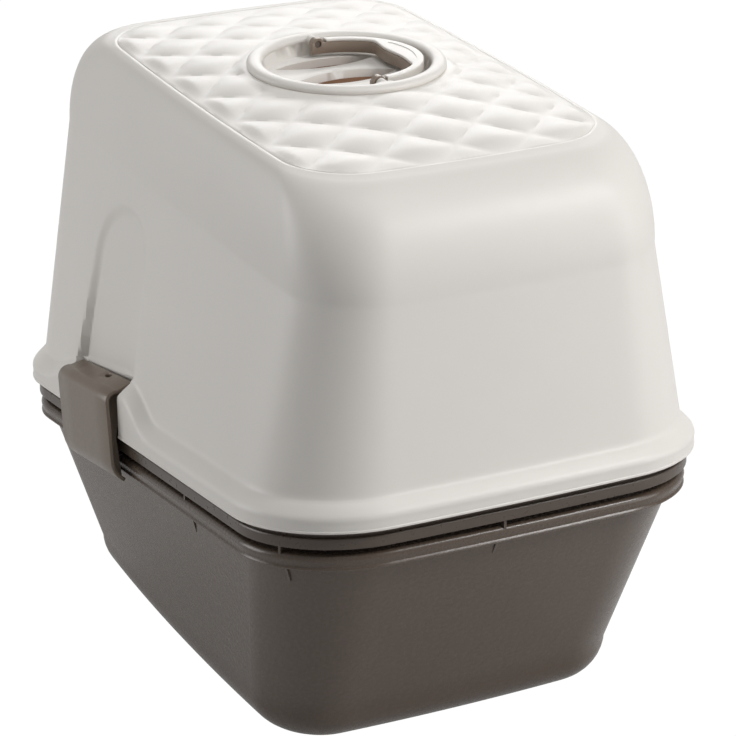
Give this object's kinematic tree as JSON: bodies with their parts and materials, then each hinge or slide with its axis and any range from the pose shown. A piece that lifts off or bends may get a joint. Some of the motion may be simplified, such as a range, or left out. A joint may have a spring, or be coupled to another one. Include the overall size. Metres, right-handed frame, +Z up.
{
  "type": "covered cat litter box",
  "caption": "Covered litter box with quilted lift-off hood, folding handle, side clips, swing flap and a sieve tray nested in a deep base tray.",
  "frame": {"origin": "on the floor under the middle of the base", "axes": "+Z up, the doorway end faces -Y, +X is the long side with the clip seen in the picture"},
  "size_m": [0.378, 0.555, 0.4603],
  "materials": {
    "hood": "satin",
    "tray": "satin",
    "sieve": "satin",
    "taupe": "satin",
    "flap": "satin",
    "filter": "matte"
  },
  "bodies": {
    "base": {"outer_tray": "tray"},
    "sieve": {"sieve_tray": "sieve"},
    "hood": {"hood_shell": "hood", "handle_well": "hood", "handle_pins": "taupe", "vent_filter": "filter", "filter_cover": "hood", "clip_pin_right": "taupe", "clip_pin_left": "taupe"},
    "handle": {"carry_handle": "taupe", "handle_cap": "hood"},
    "clip_right": {"side_clip_right": "taupe"},
    "clip_left": {"side_clip_left": "taupe"},
    "flap": {"entrance_flap": "flap"}
  },
  "joints": [
    {"name": "sieve_lift", "type": "slide", "parent": "base", "child": "sieve", "axis": [0, 0, 1], "range_m": [0, 0.25]},
    {"name": "hood_lift", "type": "slide", "parent": "sieve", "child": "hood", "axis": [0, 0, 1], "range_m": [0, 0.3]},
    {"name": "clip_right_swing", "type": "hinge", "parent": "hood", "child": "clip_right", "pos_m": [0.1705, -0.074, 0.20091], "axis": [0, -0.9863, -0.165], "range_deg": [0, 100]},
    {"name": "clip_left_swing", "type": "hinge", "parent": "hood", "child": "clip_left", "pos_m": [-0.1705, -0.074, 0.20091], "axis": [0, 0.9863, 0.165], "range_deg": [0, 100]},
    {"name": "handle_swing", "type": "hinge", "parent": "hood", "child": "handle", "pos_m": [0, 0, 0.45404], "axis": [0, 1, 0], "range_deg": [0, 180]},
    {"name": "flap_swing", "type": "hinge", "parent": "hood", "child": "flap", "pos_m": [0, -0.24438, 0.35227], "axis": [1, 0, 0], "range_deg": [-70, 70]}
  ]
}
